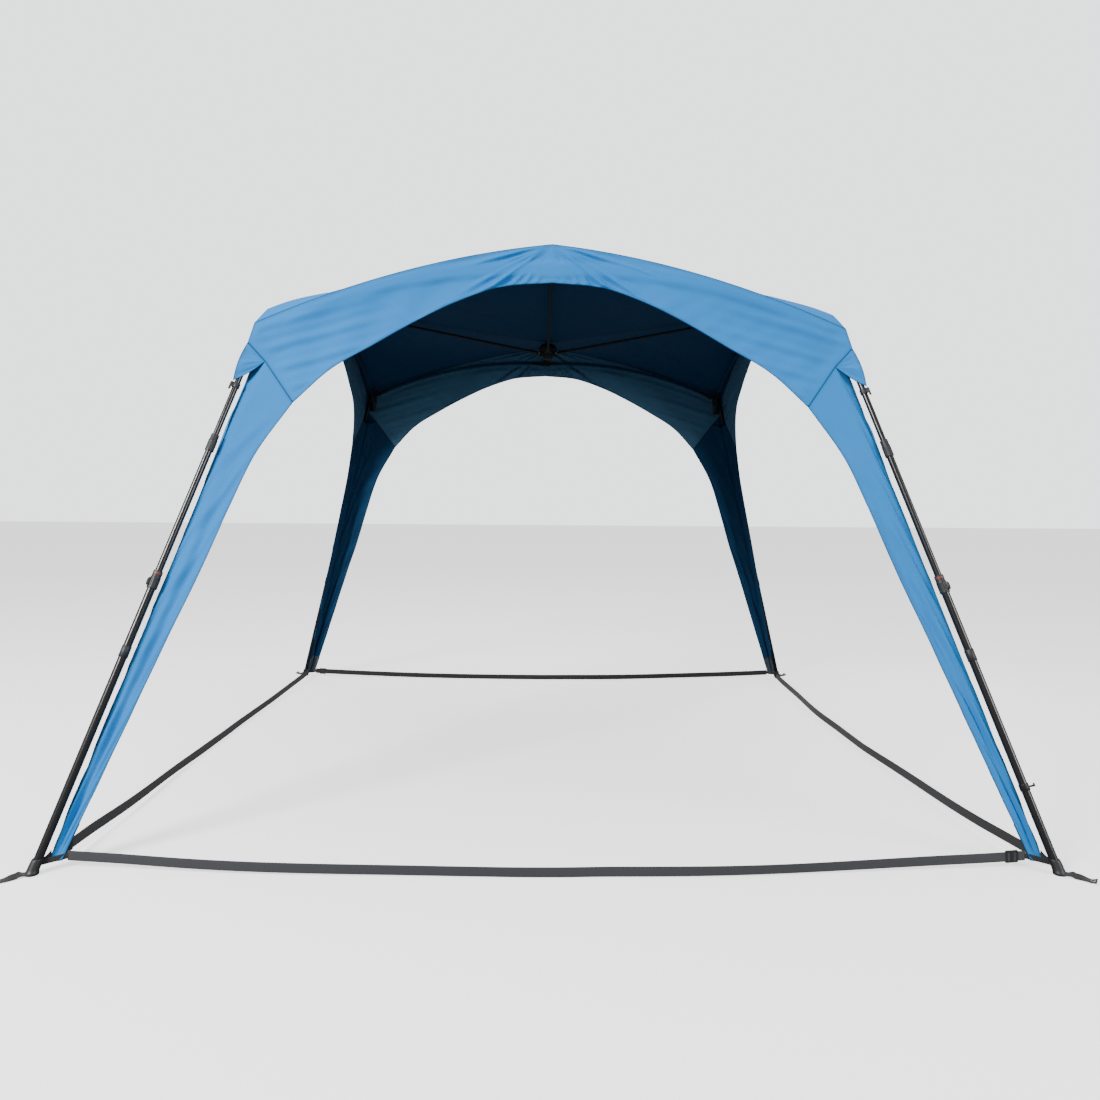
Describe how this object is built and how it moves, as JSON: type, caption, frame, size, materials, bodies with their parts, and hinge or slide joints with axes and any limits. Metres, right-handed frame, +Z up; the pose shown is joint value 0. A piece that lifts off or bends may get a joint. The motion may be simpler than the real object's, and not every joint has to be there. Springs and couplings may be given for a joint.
{
  "type": "pop-up hub-frame day shelter",
  "caption": "Free-standing day shelter: folding hub frame with arched edge rods, telescopic corner legs, and a fabric canopy with an arched opening in each side.",
  "frame": {"origin": "on the ground under the middle of the roof", "axes": "+Z up; the front doorway faces -Y and +X runs to the right when looking at it; the four sides are alike"},
  "size_m": [3.6708, 3.6708, 2.296],
  "materials": {
    "canopy_fabric": "plain-weave coated polyester, soft sheen",
    "webbing": "woven flat webbing",
    "leg_tube": "gunmetal semi-gloss coating",
    "frame_rod": "satin black pultruded fibreglass",
    "moulded_plastic": "fine moulded texture"
  },
  "bodies": {
    "hub": {"hub_body": "moulded_plastic", "hub_cap": "moulded_plastic", "canopy": "canopy_fabric"},
    "rib_front": {"rib_front": "frame_rod"},
    "apex_front": {"apex_joint_front": "moulded_plastic"},
    "rod_front_fr": {"edge_rod_front_fr": "frame_rod"},
    "rod_front_fl": {"edge_rod_front_fl": "frame_rod"},
    "rib_right": {"rib_right": "frame_rod"},
    "apex_right": {"apex_joint_right": "moulded_plastic"},
    "rod_right_br": {"edge_rod_right_br": "frame_rod"},
    "rod_right_fr": {"edge_rod_right_fr": "frame_rod"},
    "rib_back": {"rib_back": "frame_rod"},
    "apex_back": {"apex_joint_back": "moulded_plastic"},
    "rod_back_bl": {"edge_rod_back_bl": "frame_rod"},
    "rod_back_br": {"edge_rod_back_br": "frame_rod"},
    "rib_left": {"rib_left": "frame_rod"},
    "apex_left": {"apex_joint_left": "moulded_plastic"},
    "rod_left_fl": {"edge_rod_left_fl": "frame_rod"},
    "rod_left_bl": {"edge_rod_left_bl": "frame_rod"},
    "knuckle_fr": {"knuckle_fr": "moulded_plastic"},
    "leg_upper_fr": {"leg_upper_fr": "leg_tube", "hood_clip_fr": "moulded_plastic"},
    "leg_middle_fr": {"leg_middle_fr": "leg_tube"},
    "collar_upper_fr": {"collar_upper_fr": "moulded_plastic"},
    "leg_lower_fr": {"leg_lower_fr": "leg_tube", "foot_fr": "moulded_plastic", "ground_strap_front": "webbing", "strap_buckle_fr": "moulded_plastic", "side_hook_fr": "leg_tube"},
    "collar_lower_fr": {"collar_lower_fr": "moulded_plastic"},
    "knuckle_br": {"knuckle_br": "moulded_plastic"},
    "leg_upper_br": {"leg_upper_br": "leg_tube", "hood_clip_br": "moulded_plastic"},
    "leg_middle_br": {"leg_middle_br": "leg_tube"},
    "collar_upper_br": {"collar_upper_br": "moulded_plastic"},
    "leg_lower_br": {"leg_lower_br": "leg_tube", "foot_br": "moulded_plastic", "ground_strap_right": "webbing", "strap_buckle_br": "moulded_plastic"},
    "collar_lower_br": {"collar_lower_br": "moulded_plastic"},
    "knuckle_bl": {"knuckle_bl": "moulded_plastic"},
    "leg_upper_bl": {"leg_upper_bl": "leg_tube", "hood_clip_bl": "moulded_plastic"},
    "leg_middle_bl": {"leg_middle_bl": "leg_tube"},
    "collar_upper_bl": {"collar_upper_bl": "moulded_plastic"},
    "leg_lower_bl": {"leg_lower_bl": "leg_tube", "foot_bl": "moulded_plastic", "ground_strap_back": "webbing", "strap_buckle_bl": "moulded_plastic"},
    "collar_lower_bl": {"collar_lower_bl": "moulded_plastic"},
    "knuckle_fl": {"knuckle_fl": "moulded_plastic"},
    "leg_upper_fl": {"leg_upper_fl": "leg_tube", "hood_clip_fl": "moulded_plastic"},
    "leg_middle_fl": {"leg_middle_fl": "leg_tube"},
    "collar_upper_fl": {"collar_upper_fl": "moulded_plastic"},
    "leg_lower_fl": {"leg_lower_fl": "leg_tube", "foot_fl": "moulded_plastic", "ground_strap_left": "webbing", "strap_buckle_fl": "moulded_plastic"},
    "collar_lower_fl": {"collar_lower_fl": "moulded_plastic"}
  },
  "joints": [
    {"name": "fold", "type": "hinge", "parent": "hub", "child": "rib_front", "pos_m": [0, -0.044, 2.06518], "axis": [1, 0, 0], "range_deg": [0, 95], "deforming": ["canopy", "ground_strap_front", "ground_strap_right", "ground_strap_back", "ground_strap_left"]},
    {"name": "apex_front_fold", "type": "hinge", "parent": "rib_front", "child": "apex_front", "pos_m": [0, -1.108, 2.272], "axis": [1, 0, 0], "range_deg": [-95, 0]},
    {"name": "rod_front_fr_fold", "type": "hinge", "parent": "apex_front", "child": "rod_front_fr", "pos_m": [0.026, -1.13, 2.192], "axis": [0, -1, 0], "range_deg": [0, 95], "stiffness_Nm_per_rad": 12000},
    {"name": "rod_front_fl_fold", "type": "hinge", "parent": "apex_front", "child": "rod_front_fl", "pos_m": [-0.026, -1.13, 2.192], "axis": [0, 1, 0], "range_deg": [0, 95]},
    {"name": "knuckle_fr_fold", "type": "hinge", "parent": "rod_front_fr", "child": "knuckle_fr", "pos_m": [1.09, -1.13, 1.98518], "axis": [0, -1, 0], "range_deg": [-95, 0]},
    {"name": "rib_right_fold", "type": "hinge", "parent": "hub", "child": "rib_right", "pos_m": [0.044, 0, 2.06518], "axis": [0, 1, 0], "range_deg": [0, 95]},
    {"name": "apex_right_fold", "type": "hinge", "parent": "rib_right", "child": "apex_right", "pos_m": [1.108, 0, 2.272], "axis": [0, 1, 0], "range_deg": [-95, 0]},
    {"name": "rod_right_br_fold", "type": "hinge", "parent": "apex_right", "child": "rod_right_br", "pos_m": [1.13, 0.026, 2.192], "axis": [1, 0, 0], "range_deg": [0, 95], "stiffness_Nm_per_rad": 12000},
    {"name": "rod_right_fr_fold", "type": "hinge", "parent": "apex_right", "child": "rod_right_fr", "pos_m": [1.13, -0.026, 2.192], "axis": [-1, 0, 0], "range_deg": [0, 95]},
    {"name": "knuckle_br_fold", "type": "hinge", "parent": "rod_right_br", "child": "knuckle_br", "pos_m": [1.13, 1.09, 1.98518], "axis": [1, 0, 0], "range_deg": [-95, 0]},
    {"name": "rib_back_fold", "type": "hinge", "parent": "hub", "child": "rib_back", "pos_m": [0, 0.044, 2.06518], "axis": [-1, 0, 0], "range_deg": [0, 95]},
    {"name": "apex_back_fold", "type": "hinge", "parent": "rib_back", "child": "apex_back", "pos_m": [0, 1.108, 2.272], "axis": [-1, 0, 0], "range_deg": [-95, 0]},
    {"name": "rod_back_bl_fold", "type": "hinge", "parent": "apex_back", "child": "rod_back_bl", "pos_m": [-0.026, 1.13, 2.192], "axis": [0, 1, 0], "range_deg": [0, 95], "stiffness_Nm_per_rad": 12000},
    {"name": "rod_back_br_fold", "type": "hinge", "parent": "apex_back", "child": "rod_back_br", "pos_m": [0.026, 1.13, 2.192], "axis": [0, -1, 0], "range_deg": [0, 95]},
    {"name": "knuckle_bl_fold", "type": "hinge", "parent": "rod_back_bl", "child": "knuckle_bl", "pos_m": [-1.09, 1.13, 1.98518], "axis": [0, 1, 0], "range_deg": [-95, 0]},
    {"name": "rib_left_fold", "type": "hinge", "parent": "hub", "child": "rib_left", "pos_m": [-0.044, 0, 2.06518], "axis": [0, -1, 0], "range_deg": [0, 95]},
    {"name": "apex_left_fold", "type": "hinge", "parent": "rib_left", "child": "apex_left", "pos_m": [-1.108, 0, 2.272], "axis": [0, -1, 0], "range_deg": [-95, 0]},
    {"name": "rod_left_fl_fold", "type": "hinge", "parent": "apex_left", "child": "rod_left_fl", "pos_m": [-1.13, -0.026, 2.192], "axis": [-1, 0, 0], "range_deg": [0, 95], "stiffness_Nm_per_rad": 12000},
    {"name": "rod_left_bl_fold", "type": "hinge", "parent": "apex_left", "child": "rod_left_bl", "pos_m": [-1.13, 0.026, 2.192], "axis": [1, 0, 0], "range_deg": [0, 95]},
    {"name": "knuckle_fl_fold", "type": "hinge", "parent": "rod_left_fl", "child": "knuckle_fl", "pos_m": [-1.13, -1.09, 1.98518], "axis": [-1, 0, 0], "range_deg": [-95, 0]},
    {"name": "leg_fr_swing", "type": "hinge", "parent": "knuckle_fr", "child": "leg_upper_fr", "pos_m": [1.154, -1.154, 1.951], "axis": [0.7071, 0.7071, 0], "range_deg": [0, 23.37]},
    {"name": "leg_fr_middle_slide", "type": "slide", "parent": "leg_upper_fr", "child": "leg_middle_fr", "axis": [-0.2804, 0.2804, 0.918], "range_m": [0, 0.18], "stiffness_N_per_m": 40000},
    {"name": "leg_fr_lower_slide", "type": "slide", "parent": "leg_middle_fr", "child": "leg_lower_fr", "axis": [-0.2804, 0.2804, 0.918], "range_m": [0, 0.48], "stiffness_N_per_m": 40000},
    {"name": "collar_upper_fr_twist", "type": "hinge", "parent": "leg_middle_fr", "child": "collar_upper_fr", "pos_m": [1.154, -1.154, 1.951], "axis": [-0.2804, 0.2804, 0.918], "range_deg": [0, 60]},
    {"name": "collar_lower_fr_twist", "type": "hinge", "parent": "leg_lower_fr", "child": "collar_lower_fr", "pos_m": [1.154, -1.154, 1.951], "axis": [-0.2804, 0.2804, 0.918], "range_deg": [0, 60]},
    {"name": "leg_br_swing", "type": "hinge", "parent": "knuckle_br", "child": "leg_upper_br", "pos_m": [1.154, 1.154, 1.951], "axis": [-0.7071, 0.7071, 0], "range_deg": [0, 23.37]},
    {"name": "leg_br_middle_slide", "type": "slide", "parent": "leg_upper_br", "child": "leg_middle_br", "axis": [-0.2804, -0.2804, 0.918], "range_m": [0, 0.18], "stiffness_N_per_m": 40000},
    {"name": "leg_br_lower_slide", "type": "slide", "parent": "leg_middle_br", "child": "leg_lower_br", "axis": [-0.2804, -0.2804, 0.918], "range_m": [0, 0.48], "stiffness_N_per_m": 40000},
    {"name": "collar_upper_br_twist", "type": "hinge", "parent": "leg_middle_br", "child": "collar_upper_br", "pos_m": [1.154, 1.154, 1.951], "axis": [-0.2804, -0.2804, 0.918], "range_deg": [0, 60]},
    {"name": "collar_lower_br_twist", "type": "hinge", "parent": "leg_lower_br", "child": "collar_lower_br", "pos_m": [1.154, 1.154, 1.951], "axis": [-0.2804, -0.2804, 0.918], "range_deg": [0, 60]},
    {"name": "leg_bl_swing", "type": "hinge", "parent": "knuckle_bl", "child": "leg_upper_bl", "pos_m": [-1.154, 1.154, 1.951], "axis": [-0.7071, -0.7071, 0], "range_deg": [0, 23.37]},
    {"name": "leg_bl_middle_slide", "type": "slide", "parent": "leg_upper_bl", "child": "leg_middle_bl", "axis": [0.2804, -0.2804, 0.918], "range_m": [0, 0.18], "stiffness_N_per_m": 40000},
    {"name": "leg_bl_lower_slide", "type": "slide", "parent": "leg_middle_bl", "child": "leg_lower_bl", "axis": [0.2804, -0.2804, 0.918], "range_m": [0, 0.48], "stiffness_N_per_m": 40000},
    {"name": "collar_upper_bl_twist", "type": "hinge", "parent": "leg_middle_bl", "child": "collar_upper_bl", "pos_m": [-1.154, 1.154, 1.951], "axis": [0.2804, -0.2804, 0.918], "range_deg": [0, 60]},
    {"name": "collar_lower_bl_twist", "type": "hinge", "parent": "leg_lower_bl", "child": "collar_lower_bl", "pos_m": [-1.154, 1.154, 1.951], "axis": [0.2804, -0.2804, 0.918], "range_deg": [0, 60]},
    {"name": "leg_fl_swing", "type": "hinge", "parent": "knuckle_fl", "child": "leg_upper_fl", "pos_m": [-1.154, -1.154, 1.951], "axis": [0.7071, -0.7071, 0], "range_deg": [0, 23.37]},
    {"name": "leg_fl_middle_slide", "type": "slide", "parent": "leg_upper_fl", "child": "leg_middle_fl", "axis": [0.2804, 0.2804, 0.918], "range_m": [0, 0.18], "stiffness_N_per_m": 40000},
    {"name": "leg_fl_lower_slide", "type": "slide", "parent": "leg_middle_fl", "child": "leg_lower_fl", "axis": [0.2804, 0.2804, 0.918], "range_m": [0, 0.48], "stiffness_N_per_m": 40000},
    {"name": "collar_upper_fl_twist", "type": "hinge", "parent": "leg_middle_fl", "child": "collar_upper_fl", "pos_m": [-1.154, -1.154, 1.951], "axis": [0.2804, 0.2804, 0.918], "range_deg": [0, 60]},
    {"name": "collar_lower_fl_twist", "type": "hinge", "parent": "leg_lower_fl", "child": "collar_lower_fl", "pos_m": [-1.154, -1.154, 1.951], "axis": [0.2804, 0.2804, 0.918], "range_deg": [0, 60]}
  ],
  "couplings": [
    {"joint": "apex_front_fold", "follows": "fold", "ratio": -1},
    {"joint": "rod_front_fr_fold", "follows": "fold", "ratio": 1},
    {"joint": "rod_front_fl_fold", "follows": "fold", "ratio": 1},
    {"joint": "knuckle_fr_fold", "follows": "fold", "ratio": -1},
    {"joint": "rib_right_fold", "follows": "fold", "ratio": 1},
    {"joint": "apex_right_fold", "follows": "fold", "ratio": -1},
    {"joint": "rod_right_br_fold", "follows": "fold", "ratio": 1},
    {"joint": "rod_right_fr_fold", "follows": "fold", "ratio": 1},
    {"joint": "knuckle_br_fold", "follows": "fold", "ratio": -1},
    {"joint": "rib_back_fold", "follows": "fold", "ratio": 1},
    {"joint": "apex_back_fold", "follows": "fold", "ratio": -1},
    {"joint": "rod_back_bl_fold", "follows": "fold", "ratio": 1},
    {"joint": "rod_back_br_fold", "follows": "fold", "ratio": 1},
    {"joint": "knuckle_bl_fold", "follows": "fold", "ratio": -1},
    {"joint": "rib_left_fold", "follows": "fold", "ratio": 1},
    {"joint": "apex_left_fold", "follows": "fold", "ratio": -1},
    {"joint": "rod_left_fl_fold", "follows": "fold", "ratio": 1},
    {"joint": "rod_left_bl_fold", "follows": "fold", "ratio": 1},
    {"joint": "knuckle_fl_fold", "follows": "fold", "ratio": -1},
    {"joint": "leg_fr_swing", "follows": "fold", "ratio": 0.24595},
    {"joint": "leg_br_swing", "follows": "fold", "ratio": 0.24595},
    {"joint": "leg_bl_swing", "follows": "fold", "ratio": 0.24595},
    {"joint": "leg_fl_swing", "follows": "fold", "ratio": 0.24595}
  ]
}
